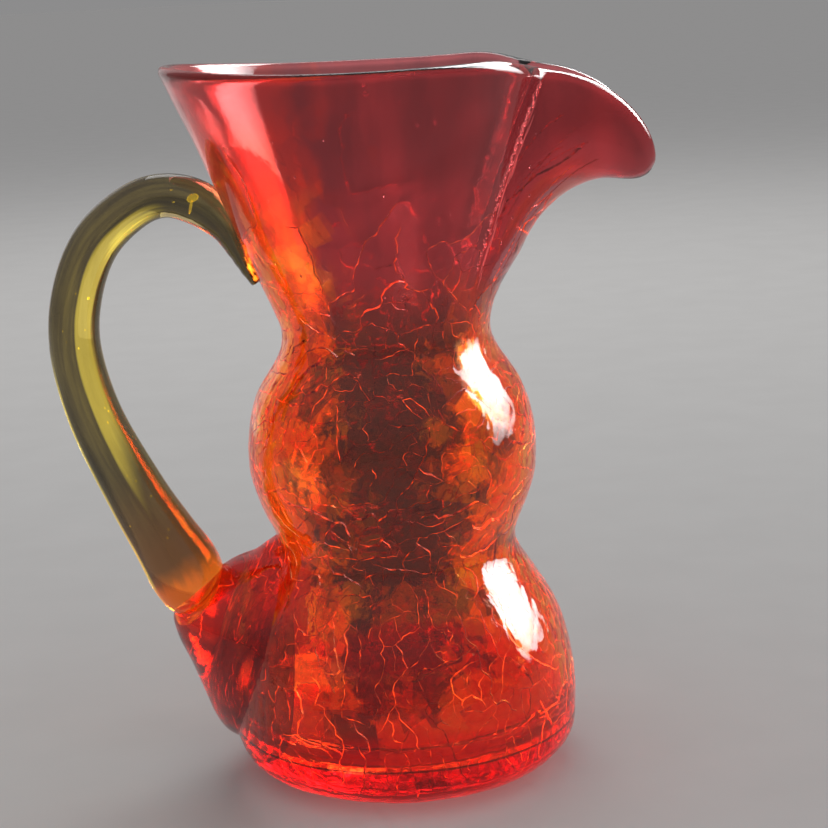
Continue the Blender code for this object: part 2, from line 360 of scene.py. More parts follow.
def turned_rings(line, turns):
    """Rings about the axis through the line's points, each given as radius and height."""
    radius, height = line[:, 0][:, None], line[:, 1][:, None]
    ones = np.ones_like(turns)[None]
    return np.stack([radius * np.cos(turns), radius * np.sin(turns), height * ones], axis=-1)


def vessel_rings(turns):
    """Rings of the underside, the outer skin, the lip and the inner skin, in that order."""
    outline = even_line(turned_line(), OUTER_PITCH, passes=3)
    across = np.linspace(0, 1, UNDERSIDE_RINGS, endpoint=False)[1:] * outline[0, 0]
    hollow = PONTIL_DEPTH * np.clip(PONTIL_EDGE - across / PONTIL_RADIUS, 0, 1)
    underside = turned_rings(np.column_stack([across, hollow]), turns)
    turned = turned_rings(outline, turns)

    rise = np.linspace(0, 1, MOUTH_ROWS + 1)[1:]
    turn_grid, rise_grid = np.meshgrid(turns, rise)
    mouth, outward, upward = mouth_frame(turn_grid, rise_grid)
    outer = np.concatenate([turned, mouth])

    keel = np.cos(np.clip(turns / SPOUT_TURN, -1, 1) * pi / 2) ** 2
    lip_wall = WALL * (1 - SPOUT_THINNING * keel)[:, None]
    lip = [
        mouth[-1]
        - outward[-1] * lip_wall * (1 - cos(pi * step / LIP_STEPS)) / 2
        + upward[-1] * WALL / 2 * sin(pi * step / LIP_STEPS)
        for step in range(1, LIP_STEPS)
    ]

    rise = np.linspace(1, 0, INNER_MOUTH_ROWS + 1)[:-1]
    turn_grid, rise_grid = np.meshgrid(turns, rise)
    skin, inward, _ = mouth_frame(turn_grid, rise_grid)
    inner_mouth = skin - inward * (WALL * (1 - SPOUT_THINNING * rise_grid * keel))[..., None]
    inside = offset_line(even_line(turned_line(), INNER_PITCH, passes=1), WALL)
    floor = even_line(smooth_line(INNER_FLOOR_OUTLINE, 6) * MM, INNER_PITCH) + (0, BASE_THICKNESS)
    inside = inside[inside[:, 1] > floor[-1, 1] + FLOOR_CLEARANCE]
    inner_line = np.vstack([inside[::-1], floor[:0:-1]])
    return underside, outer, np.array(lip), np.concatenate([inner_mouth, turned_rings(inner_line, turns)])


def soften_creases(outer, lip, inner, turned_rows):
    """Eases the mouth's folds beside the spout, above the given number of outer rows."""
    for rings in (outer[turned_rows:], lip, inner[:INNER_MOUTH_ROWS]):
        for _ in range(CREASE_PASSES):
            rings += (np.roll(rings, 1, axis=1) + np.roll(rings, -1, axis=1) - 2 * rings) / 4


class Skin:
    """The vessel's outer skin as a chart: turn in columns, and distance up the wall in rows."""

    def __init__(self, outer):
        self.grid = outer
        self.normals = grid_normals(outer)
        self.rows, self.columns = outer.shape[:2]
        around = np.linalg.norm(np.roll(outer, -1, axis=1) - outer, axis=-1)
        upward = np.linalg.norm(np.diff(outer, axis=0), axis=-1)
        self.around, self.upward = around, np.vstack([upward, upward[-1:]])

    def at(self, column, row, values=None):
        """The point, or another value of the chart, at a fractional column and row."""
        values = self.grid if values is None else values
        low = int(min(max(row, 0), self.rows - 1.001))
        left = int(column // 1) % self.columns
        right = (left + 1) % self.columns
        over, up = column % 1, min(max(row - low, 0), 1)
        lower = values[low, left] * (1 - over) + values[low, right] * over
        upper = values[low + 1, left] * (1 - over) + values[low + 1, right] * over
        return lower * (1 - up) + upper * up


# -------- crackle

SEED = 11
CRACK_STEP = 1.1 * MM
CRACK_PROUD = 0.02 * MM
CRACK_MARGIN = 3  # rows of the skin's chart left clear at its top and bottom
SWAY_KEPT = 0.35
SWAY_ADDED = 0.26
KINK_CHANCE = 0.22
KINK_SIZE = 0.8
HEADING_SPREAD = 0.45
START_TRIES = 6
MOST_MARKS = 40000
FAR_OFF = 9.0
CRACK_TILT = 0.35
GLINT_UNEVENNESS = 0.3
# The net's long cracks, then the short ones between: share of the zones' clear radius, greatest length
# and places tried; then width (least, most and, for the long ones, usual) and depth, in mm.
LONG_CRACKS = (0.85, 60 * MM, 2200)
LONG_CRACK_WIDTH = (0.07, 0.3, 0.11)
LONG_CRACK_DEPTH = (0.3, 1.1)
SHORT_CRACKS = (0.5, 9 * MM, 2000)
SHORT_CRACK_WIDTH = (0.06, 0.14)
SHORT_CRACK_DEPTH = (0.2, 0.7)
# Height up to which each zone reaches, the clear radius in which another crack starts (both mm), and
# the cracks' lean: 1 upright, -1 level.
CRACK_ZONES = [
    (5, 30, 0.0), (13, 7, 0.4), (40, 3.5, 0.7), (58, 3.1, 0.5), (72, 2.7, 0.0), (88, 2.5, -0.3),
    (122, 3.1, 0.0), (140, 3.5, 0.3), (150, 5.5, 0.2), (160, 9, 0.0), (172, 17, 0.0), (213, 90, 0.0),
]
# Painted caustic lines on the spout's lower side, made as bright threads: share of the way from keel to
# crease at the tip, the rise at which they start and end, and their width in mm.
PAINTED_CAUSTIC_THREADS = [(0.42, 0.1, 0.8, 0.34), (0.5, 0.18, 0.72, 0.22), (0.72, 0.45, 0.86, 0.12)]
THREAD_SPREAD = 0.25
THREAD_WANDER = 0.18
THREAD_DEPTH = 0.5 * MM
GROOVE_DEPTH = 0.13 * MM
GROOVE_REACH = 1.3 * MM
WAVINESS = 0.16 * MM
WAVE_LENGTH = 26 * MM
WAVE_SEED = 5
WAVES = 7
CALM_ROWS = (14, 8)  # rows over which the waviness sets in, from the bottom and from the top


def crack_zone(height):
    """The clear radius and lean for cracks at a height."""
    for top, clear, lean in CRACK_ZONES:
        if height <= top * MM:
            return clear * MM, lean
    return 1.0, 0.0


def cell_of(place):
    """The cube of space that a place lies in, of one crack step each way."""
    return tuple(int(value // CRACK_STEP) for value in place)


def mark_near(place, marks):
    """The (column, row) of an earlier crack beside a place, or None."""
    i, j, k = cell_of(place)
    for a in (0, -1, 1):
        for b in (0, -1, 1):
            for c in (0, -1, 1):
                if (i + a, j + b, k + c) in marks:
                    return marks[i + a, j + b, k + c]
    return None


def walk_crack(skin, column, row, heading, longest, marks, draw):
    """A crack's way from a place until it meets another, as (column, row) pairs."""
    track, sway = [], 0.0
    for _ in range(int(longest / CRACK_STEP)):
        sway = SWAY_KEPT * sway + draw.gauss(0, SWAY_ADDED)
        if draw.random() < KINK_CHANCE:
            heading += draw.gauss(0, KINK_SIZE)
        column += cos(heading + sway) * CRACK_STEP / float(skin.at(column, row, skin.around))
        row += sin(heading + sway) * CRACK_STEP / float(skin.at(column, row, skin.upward))
        if not CRACK_MARGIN - 1 < row < skin.rows - CRACK_MARGIN:
            break
        met = mark_near(skin.at(column, row), marks)
        if met:
            over = (met[0] - column + skin.columns / 2) % skin.columns - skin.columns / 2
            track.append((column + over, met[1]))
            break
        track.append((column, row))
    return track


def grow_cracks(skin, shrink, longest, rounds, draw, marks, spots):
    """Cracks as lists of (column, row). Each starts at the middle of the clearest of a few random
    places and grows both ways until it meets another, which divides the skin into cells."""
    cracks = []
    for _ in range(rounds):
        best, best_clear = None, 1.0
        for _ in range(START_TRIES):
            column = draw.uniform(0, skin.columns)
            row = draw.uniform(CRACK_MARGIN, skin.rows - CRACK_MARGIN - 1)
            place = skin.at(column, row)
            clear, lean = crack_zone(place[2])
            free = np.sqrt(((spots[: len(marks)] - place) ** 2).sum(1).min()) if marks else 1.0
            if free / (clear * shrink) > best_clear:
                best, best_clear = (column, row, lean), free / (clear * shrink)
        if best is None:
            continue
        column, row, lean = best
        if draw.random() < abs(lean):
            heading = (pi / 2 if lean > 0 else 0) + draw.gauss(0, HEADING_SPREAD)
        else:
            heading = draw.uniform(0, tau)
        length = draw.uniform(0.4, 1) * longest
        ahead = walk_crack(skin, column, row, heading, length / 2, marks, draw)
        behind = walk_crack(skin, column, row, heading + pi, length / 2, marks, draw)
        track = behind[::-1] + [(column, row)] + ahead
        if len(track) > 3:
            cracks.append(track)
            for column, row in track:
                place = skin.at(column, row)
                cell = cell_of(place)
                if cell not in marks:
                    spots[len(marks)] = place
                    marks[cell] = (column % skin.columns, row)
    return cracks


def make_crackle(skin, cracks, draw):
    """Cracks as thin closed wedges, from just over the skin down into the wall."""
    points, faces, glints = [], [], []
    for track, width, depth in cracks:
        places = [skin.at(column, row) for column, row in track]
        normals = [skin.at(column, row, skin.normals) for column, row in track]
        glint, tilt = draw.random(), draw.gauss(0, CRACK_TILT)
        first, last = len(points), len(places) - 1
        for i, (place, normal) in enumerate(zip(places, normals)):
            along = places[min(i + 1, last)] - places[max(i - 1, 0)]
            across = np.cross(normal, along)
            across /= max(np.linalg.norm(across), 1e-9)
            taper = min(1, 0.3 + 0.25 * min(i, last - i)) * draw.uniform(0.65, 1.15)
            half = width * taper / 2
            points += [
                place + across * half + normal * CRACK_PROUD,
                place - across * half + normal * CRACK_PROUD,
                place - normal * depth * taper + across * depth * tilt * taper,
            ]
            glints += [min(1, max(0, glint + draw.gauss(0, GLINT_UNEVENNESS)))] * 3
        for i in range(first, len(points) - 3, 3):
            for k in range(3):
                here, there = i + k, i + (k + 1) % 3
                faces.append((here, there, there + 3, here + 3))
        faces += [(first + 2, first + 1, first), (len(points) - 3, len(points) - 2, len(points) - 1)]
    return points, faces, glints


def painted_caustic_threads(skin, first_row, draw):
    """Bright threads, made as cracks, that run out along the spout's lower side: painted caustic lines
    standing in for light focussed by the spout.
    """
    threads = []
    mouth_rows = skin.rows - first_row - 1
    for side in (-1, 1):
        for low, start, end, width in PAINTED_CAUSTIC_THREADS:
            track = []
            for rise in np.arange(start, end, CRACK_STEP / 2 / COLLAR_HEIGHT):
                turn = side * SPOUT_TURN * (low + THREAD_SPREAD * (1 - rise))
                column = (turn + pi) / tau * skin.columns + draw.gauss(0, THREAD_WANDER)
                track.append((column, first_row + rise * mouth_rows))
            threads.append((track, width * MM, THREAD_DEPTH))
    return threads


def wavy(points, seed, size):
    """A smooth random value of about -1 to 1 at each point, from a few sine waves."""
    draw = np.random.default_rng(seed)
    value = np.zeros(points.shape[:-1])
    for _ in range(WAVES):
        direction = draw.normal(size=3)
        direction /= np.linalg.norm(direction)
        value += np.sin(points @ direction * tau / (size * draw.uniform(0.6, 1.6)) + draw.uniform(0, tau))
    return value / 3


def groove(skin, cracks):
    """Sinks the skin a little along the cracks, so that each cell between them bulges."""
    marks = [skin.at(column, row) for track, _, _ in cracks for column, row in track]
    tree = KDTree(len(marks))
    for i, mark in enumerate(marks):
        tree.insert(mark, i)
    tree.balance()
    for row in range(2, skin.rows - 2):
        for column in range(skin.columns):
            distance = tree.find(skin.grid[row, column])[2]
            if distance < 3 * GROOVE_REACH:
                sink = GROOVE_DEPTH * np.exp(-((distance / GROOVE_REACH) ** 2))
                skin.grid[row, column] -= skin.normals[row, column] * sink


def shaped_vessel():
    """The vessel's rings with the spout shaped and the outer skin made a little uneven: the underside,
    the outer skin as a chart, the lip, the inner skin and the number of turned rows."""
    turns = np.linspace(-pi, pi, COLUMNS, endpoint=False)
    underside, outer, lip, inner = vessel_rings(turns)
    turned_rows = len(outer) - MOUTH_ROWS
    soften_creases(outer, lip, inner, turned_rows + WAIST_ROWS)
    inwardness = (1 - np.cos(pi * np.arange(1, LIP_STEPS) / LIP_STEPS)) / 2
    lean_spout(outer)
    lean_spout(lip, inwardness[:, None])
    lean_spout(inner, 1.0)
    skin = Skin(outer)
    rows = np.arange(skin.rows)
    share = np.minimum(smooth_share(rows / CALM_ROWS[0]), smooth_share((skin.rows - 1 - rows) / CALM_ROWS[1]))
    waves = WAVINESS * share[:, None] * wavy(outer, WAVE_SEED, WAVE_LENGTH)
    outer += skin.normals * waves[..., None]
    return underside, skin, lip, inner, turned_rows


def crack_net(skin, draw):
    """All cracks of the net, each as its track, width and depth."""
    marks, spots = {}, np.full((MOST_MARKS, 3), FAR_OFF)
    long_cracks = grow_cracks(skin, *LONG_CRACKS, draw, marks, spots)
    short_cracks = grow_cracks(skin, *SHORT_CRACKS, draw, marks, spots)
    cracks = []
    for track in long_cracks:
        cracks.append((track, draw.triangular(*LONG_CRACK_WIDTH) * MM, draw.uniform(*LONG_CRACK_DEPTH) * MM))
    for track in short_cracks:
        cracks.append((track, draw.uniform(*SHORT_CRACK_WIDTH) * MM, draw.uniform(*SHORT_CRACK_DEPTH) * MM))
    return cracks


def make_vessel():
    """The vessel with its cracks and its seed bubbles."""
    draw = random.Random(SEED)
    underside, skin, lip, inner, turned_rows = shaped_vessel()
    cracks = crack_net(skin, draw)
    groove(skin, cracks)
    cracks += painted_caustic_threads(skin, turned_rows, draw)

    points, faces = closed_skin(np.concatenate([underside, skin.grid, lip, inner]))
    mesh = mesh_from("blown_vessel", points, faces)
    vessel = add_piece("blown_vessel", mesh, "ruby_crackle_glass", "vessel_body")
    vessel.data.materials.append(ruby_glass())
    vessel.visible_shadow = False

    points, faces, glints = make_crackle(skin, cracks, draw)
    mesh = mesh_from("crackle", points, faces)
    mesh.shade_flat()
    add_values(mesh, "glint", glints)
    crackle = add_piece("crackle", mesh, "ruby_crackle_glass")
    crackle.data.materials.append(crackle_glass())

    make_seed_bubbles(skin, draw)
    make_crease_beads(draw)


# -------- bubbles

# Sizes, in mm, are least, most and usual; depths, in mm, are least and most.
BUBBLE_SIDES = 8
BUBBLE_RINGS = 6
SEED_BUBBLES = 260
SEED_SIZE = (0.12, 0.5, 0.18)
SEED_DEPTH = (0.9, 2.3)
SEED_ROWS = (12, 6)  # rows of the skin's chart left clear at the bottom and at the top
CREASE_TOP = 0.985
CREASE_FOOT = 0.24
CREASE_BEAD_PITCH = 0.95 * MM
CREASE_THREAD_CHANCE = 0.3
CREASE_THREAD_DEPTH = 0.5 * MM
CREASE_THREAD_HALF = 0.16 * MM
CREASE_GLOW = 0.12
ROD_SEED = 3
ROD_BUBBLES = 18
ROD_BUBBLE_SIZE = (0.06, 0.2, 0.08)
ROD_ENDS_KEPT = 30  # points of the rod's line left clear of bubbles at each end
BIG_SEED = (54.0 * MM, 172.5 * MM)
ROD_GLOW = 0.3


def bubble(centre, long_way, size):
    """Points and faces of an egg-shaped bubble: size is its half length and half thickness."""
    turn = Vector(long_way).normalized().to_track_quat("Z", "Y").to_matrix()
    sides = np.linspace(0, tau, BUBBLE_SIDES, endpoint=False)
    grid = []
    for angle in np.linspace(0, pi, BUBBLE_RINGS)[1:-1]:
        wide, up = size[1] * sin(angle), -size[0] * cos(angle)
        grid.append([turn @ Vector((wide * cos(side), wide * sin(side), up)) for side in sides])
    ends = [turn @ Vector((0, 0, -size[0])), turn @ Vector((0, 0, size[0]))]
    points, faces = closed_skin(np.array(grid), ends)
    return points + centre, faces


def bubbles_piece(name, bubbles, slot, tint, glow=0.0):
    """One piece of many bubbles, each given as centre, long way and half sizes."""
    points, faces = [], []
    for centre, long_way, size in bubbles:
        own_points, own_faces = bubble(centre, long_way, size)
        faces += [tuple(i + len(points) for i in face) for face in own_faces]
        points += own_points.tolist()
    piece = add_piece(name, mesh_from(name, points, faces), slot)
    piece.data.materials.append(bubble_glass(name, tint, glow))


def make_seed_bubbles(skin, draw):
    """Seed bubbles scattered in the vessel's wall."""
    bubbles = []
    for _ in range(SEED_BUBBLES):
        column, row = draw.uniform(0, skin.columns), draw.uniform(SEED_ROWS[0], skin.rows - SEED_ROWS[1])
        size = draw.triangular(*SEED_SIZE) * MM
        centre = skin.at(column, row) - skin.at(column, row, skin.normals) * draw.uniform(*SEED_DEPTH) * MM
        bubbles.append((centre, (0, 0, 1), (size * draw.uniform(1.0, 1.8), size)))
    bubbles_piece("seed_bubbles", bubbles, "ruby_crackle_glass", colour(1.0, 0.75, 0.75))


def make_crease_beads(draw):
    """Beaded lines in the creases beside the spout and a few long thin bubbles next to them, with a painted
    glow.
    """
    beads = []
    for side in (-1, 1):
        rise = CREASE_TOP
        while rise > CREASE_FOOT:
            place, outward, upward = mouth_frame(np.array(side * SPOUT_TURN), np.array(rise))
            across = np.cross(outward, upward)
            shift = (draw.gauss(0, 0.3) - 0.5 * side) * MM
            deep = draw.uniform(-0.05, 0.45) * MM
            half = draw.uniform(0.4, 0.85) * MM * min(1, 0.35 + rise)
            slant = across + upward * draw.uniform(-0.9, 0.9)
            centre = lean_spout(place + across * shift - outward * deep)
            beads.append((centre, slant, (half * 1.25, half * 0.6)))
            rise -= CREASE_BEAD_PITCH * draw.uniform(0.6, 1.1) / COLLAR_HEIGHT
            if draw.random() < CREASE_THREAD_CHANCE:
                shift = draw.uniform(0.9, 2.2) * side * MM
                half = draw.uniform(2.5, 5) * MM
                centre = lean_spout(place + across * shift - upward * half - outward * CREASE_THREAD_DEPTH)
                beads.append((centre, upward, (half, CREASE_THREAD_HALF)))
    bubbles_piece("crease_beads", beads, "ruby_crackle_glass", colour(1.0, 0.5, 0.48), CREASE_GLOW)


# -------- handle and gather


def press_on_vessel(points, sink):
    """Moves points that are deeper than sink under the vessel's outer skin out to that depth."""
    radius, turn = np.hypot(points[..., 0], points[..., 1]), np.arctan2(points[..., 1], points[..., 0])
    least = outer_radius(turn, points[..., 2]) - sink
    grow = np.maximum(least, radius) / np.maximum(radius, 1e-9)
    points[..., 0] *= grow
    points[..., 1] *= grow
    return points


def handle_rings(line, run, along, around):
    """Rings of the rod across its line, flattened towards the tail and ridged at its end."""
    flat = 1 - share_between(along, 0, TAIL_LENGTH)
    pressed = flat * (1 - share_between(along, *RIDGED_TO))
    ridge = TAIL_RIDGE * pressed * np.sin(along * tau / RIDGE_PITCH)
    wide = line[:, 2] * (1 + TAIL_WIDENING * flat + ridge)
    thick = line[:, 2] * (1 - TAIL_THINNING * flat + ridge)
    out = np.cos(around) * thick[:, None]
    across = np.sin(around) * wide[:, None]
    return np.stack([-(line[:, :1] + run[:, 1:] * out), across, line[:, 1:2] - run[:, :1] * out], axis=-1)


def make_handle():
    """The rod with its bubbles; share runs along it from the tail, and inward is 1 inside the bend."""
    line = even_line(smooth_line(HANDLE_LINE, 8) * MM, HANDLE_PITCH, passes=2)
    run = unit(np.gradient(line[:, :2], axis=0))
    along = np.concatenate([[0], np.cumsum(np.linalg.norm(np.diff(line[:, :2], axis=0), axis=1))])
    around = np.linspace(tau, 0, HANDLE_SIDES, endpoint=False)
    points, faces = closed_skin(press_on_vessel(handle_rings(line, run, along, around), FUSED))
    mesh = mesh_from("pulled_handle", points, faces)
    add_values(mesh, "share", np.append(np.repeat(along / along[-1], HANDLE_SIDES), [0, 1]))
    add_values(mesh, "inward", np.append(np.tile(np.cos(around), len(line)), [0, 0]))
    handle = add_piece("pulled_handle", mesh, "amber_glass", "handle")
    handle.data.materials.append(amber_glass())
    make_rod_bubbles(line, run)


def make_rod_bubbles(line, run):
    """Small bubbles drawn out along the rod and the large one with its stem near the tail, with a painted
    glow.
    """
    draw = random.Random(ROD_SEED)
    reach, height, radius = line.T
    bubbles = []
    for _ in range(ROD_BUBBLES):
        i = draw.randrange(ROD_ENDS_KEPT, len(line) - ROD_ENDS_KEPT)
        off, turn = draw.uniform(0, 0.6) * radius[i], draw.uniform(0, tau)
        out, side = off * cos(turn), off * sin(turn)
        centre = np.array([-(reach[i] + run[i, 1] * out), side, height[i] - run[i, 0] * out])
        size = draw.triangular(*ROD_BUBBLE_SIZE) * MM
        bubbles.append((centre, (-run[i, 0], 0, run[i, 1]), (size * draw.uniform(1.5, 4), size)))
    big = np.argmin(np.hypot(reach - BIG_SEED[0], height - BIG_SEED[1]))
    centre = np.array([-reach[big], -1.5 * MM, height[big] + 0.8 * MM])
    stem = centre - (0.5 * MM, 0, 1.9 * MM)
    bubbles.append((centre, (1, 0, 0.15), (1.6 * MM, 1.0 * MM)))
    bubbles.append((stem, (0.2, 0, 1), (1.7 * MM, 0.4 * MM)))
    bubbles_piece("handle_bubbles", bubbles, "amber_glass", colour(1.0, 0.8, 0.12), ROD_GLOW)


def make_gather():
    """The gather, in level sections that are pointed ovals around the handle's root."""
    around = np.linspace(0, tau, GATHER_SIDES, endpoint=False)
    out, across = np.cos(around), np.sin(around)
    rings = []
    for reach, half_width, height in smooth_line(GATHER_SECTIONS, 6) * MM:
        length = np.where(out > 0, reach - GATHER_CENTRE, GATHER_BACK)
        x = GATHER_CENTRE + length * np.sign(out) * np.abs(out) ** (2 / GATHER_POINTED)
        y = half_width * np.sign(across) * np.abs(across) ** (2 / GATHER_POINTED)
        rings.append(np.column_stack([-x, -y, np.full_like(x, height)]))
    points, faces = closed_skin(press_on_vessel(np.array(rings), FUSED))
    mesh = mesh_from("pressed_gather", points, faces)
    gather = add_piece("pressed_gather", mesh, "red_glass", "handle_gather")
    gather.data.materials.append(gather_glass())


# -------- materials

# Where the vessel's colours change: each pair is the start and end of a change along x, y or z or out
# from the axis, in metres, and where two more numbers follow they are the mask's values there.
RAGGED = (0.045, 0.02, 0.02)  # how far patches, cells and mottle push the edges about
# ORANGE_SIDES to NECK place the painted light: orange patches that stand in for light caught through the
# sides, the low part, the mouth and the spout's keel.
ORANGE_SIDES = (0.0195, 0.0225)
ORANGE_FLOOR = (0.036, 0.03)
FLOOR_LEFT_EDGE = (-0.014, -0.01)
MOUTH_ORANGE_LEFT = (0.014, 0.022)
MOUTH_FADE = (0.175, 0.206, 1.0, 0.25)
KEEL_WIDTH = (0.012, 0.006)
KEEL_START = (0.034, 0.044)
KEEL_FADE = (0.066, 0.05, 0.0, 0.7)
NECK = (0.128, 0.15)
NECK_COLOUR = (0.125, 0.155)
MOUTH_COLOUR = (0.15, 0.19)
BASE_TOP = (0.0145, 0.0152)
RED_BAND_TOP = (0.019, 0.027)
# A painted dark line just above the base, standing in for the inner floor's rim seen through the glass.
PAINTED_LINE_LOW = (0.0146, 0.0149)
PAINTED_LINE_HIGH = (0.0156, 0.0153)
OUTER_SKIN = (0.0465, 0.0475)
INNER_FLOOR_TOP = (0.0195, 0.0185)
INNER_FLOOR_FOOT = (0.009, 0.01)
INNER_FLOOR_EDGE = (0.0475, 0.0465)
# Emission of the painted light's orange patches.
PAINTED_LIGHT_GLOW = 0.07
CRACK_GLOW = 0.6
# Emission of the handle's painted yellow bands.
STRIPE_GLOW = 0.28
BLACK = (0.0, 0.0, 0.0, 1.0)


def new_material(name):
    """A new material, its node tree and its shader."""
    material = bpy.data.materials.new(name)
    material.use_nodes = True
    tree = material.node_tree
    return material, tree, tree.nodes["Principled BSDF"]


class Nodes:
    """Short ways to add and link shader nodes."""

    def __init__(self, tree):
        self.tree = tree

    def add(self, kind, **settings):
        """A new node with the given settings."""
        node = self.tree.nodes.new(kind)
        for name, value in settings.items():
            setattr(node, name, value)
        return node

    def link(self, value, socket):
        """Feeds a socket from another one, or sets its value."""
        if isinstance(value, bpy.types.NodeSocket):
            self.tree.links.new(value, socket)
        else:
            socket.default_value = value

    def math(self, operation, *values):
        """A sum, product or other operation of sockets and numbers."""
        node = self.add("ShaderNodeMath", operation=operation)
        for value, socket in zip(values, node.inputs):
            self.link(value, socket)
        return node.outputs[0]

    def between(self, value, low, high, out_low=0.0, out_high=1.0):
        """A value eased from low..high to out_low..out_high."""
        node = self.add("ShaderNodeMapRange", interpolation_type="SMOOTHSTEP")
        names = ("Value", "From Min", "From Max", "To Min", "To Max")
        for name, given in zip(names, (value, low, high, out_low, out_high)):
            self.link(given, node.inputs[name])
        return node.outputs["Result"]

    def mix(self, share, first, second, kind="RGBA"):
        """Mixes two colours, or two plain values with the kind FLOAT."""
        node = self.add("ShaderNodeMix", data_type=kind)
        for name, given in (("Factor", share), ("A", first), ("B", second)):
            self.link(given, node.inputs[name])
        return node.outputs["Result"]

    def both(self, *masks):
        """The product of all the masks."""
        product = masks[0]
        for mask in masks[1:]:
            product = self.math("MULTIPLY", product, mask)
        return product

    def place(self):
        """The place on the piece in its own frame."""
        return self.add("ShaderNodeTexCoord").outputs["Object"]

    def centred(self, value, width):
        """A texture value of 0 to 1 spread evenly about 0 over the given width."""
        return self.math("MULTIPLY", self.math("SUBTRACT", value, 0.5), width)

    def cells(self, vector, scale):
        """A random value for each cell of an angular pattern."""
        node = self.add("ShaderNodeTexVoronoi", feature="F1")
        self.link(vector, node.inputs["Vector"])
        node.inputs["Scale"].default_value = scale
        return self.axes(node.outputs["Color"])[0]

    def along(self, across, length):
        """A place for textures that run along a rod."""
        node = self.add("ShaderNodeCombineXYZ")
        self.link(across, node.inputs[0])
        self.link(length, node.inputs[1])
        return node.outputs[0]

    def axes(self, vector):
        """A vector's three components."""
        node = self.add("ShaderNodeSeparateXYZ")
        self.link(vector, node.inputs[0])
        return node.outputs

    def noise(self, vector, scale, detail=2.0, stretch=(1, 1, 1), distortion=0.0):
        """A soft random pattern from 0 to 1."""
        mapping = self.add("ShaderNodeMapping")
        self.link(vector, mapping.inputs["Vector"])
        mapping.inputs["Scale"].default_value = stretch
        node = self.add("ShaderNodeTexNoise")
        self.link(mapping.outputs[0], node.inputs["Vector"])
        node.inputs["Scale"].default_value = scale
        node.inputs["Detail"].default_value = detail
        node.inputs["Distortion"].default_value = distortion
        return node.outputs["Fac"]

    def bump(self, height, strength, distance):
        """A normal for a surface as uneven as the given height."""
        node = self.add("ShaderNodeBump")
        self.link(height, node.inputs["Height"])
        node.inputs["Strength"].default_value = strength
        node.inputs["Distance"].default_value = distance
        return node.outputs["Normal"]


def colour(red, green, blue):
    """A colour with full alpha."""
    return (red, green, blue, 1.0)


def as_glass(shader, roughness):
    """Makes a shader clear glass."""
    shader.inputs["Transmission Weight"].default_value = 1.0
    shader.inputs["IOR"].default_value = 1.5
    shader.inputs["Roughness"].default_value = roughness


def painted_light_share(n, x, y, z, patches, cells, mottle, streaks):
    """Where painted light makes the vessel orange, standing in for light caught through the glass: its sides
    and low right part below the neck, and above the neck the handle's side of the mouth and the spout's keel."""
    ragged = n.math("ADD", n.centred(patches, RAGGED[0]), n.centred(cells, RAGGED[1]))
    ragged = n.math("ADD", ragged, n.centred(mottle, RAGGED[2]))
    sides = n.between(n.math("ADD", n.math("ABSOLUTE", x), ragged), *ORANGE_SIDES)
    low = n.between(n.math("ADD", z, ragged), *ORANGE_FLOOR)
    low = n.both(low, n.between(n.math("ADD", x, ragged), *FLOOR_LEFT_EDGE))
    streaked = n.math("ADD", n.centred(streaks, 0.06), n.centred(cells, 0.01))
    left = n.between(n.math("SUBTRACT", streaked, x), *MOUTH_ORANGE_LEFT)
    left = n.both(left, n.between(z, *MOUTH_FADE))
    keel = n.between(n.math("ADD", n.math("ABSOLUTE", y), n.centred(mottle, 0.012)), *KEEL_WIDTH)
    keel = n.both(keel, n.between(x, *KEEL_START), n.between(x, *KEEL_FADE))
    below, above = n.math("MAXIMUM", sides, low), n.math("MAXIMUM", left, keel)
    return n.mix(n.between(z, *NECK), below, above, "FLOAT")


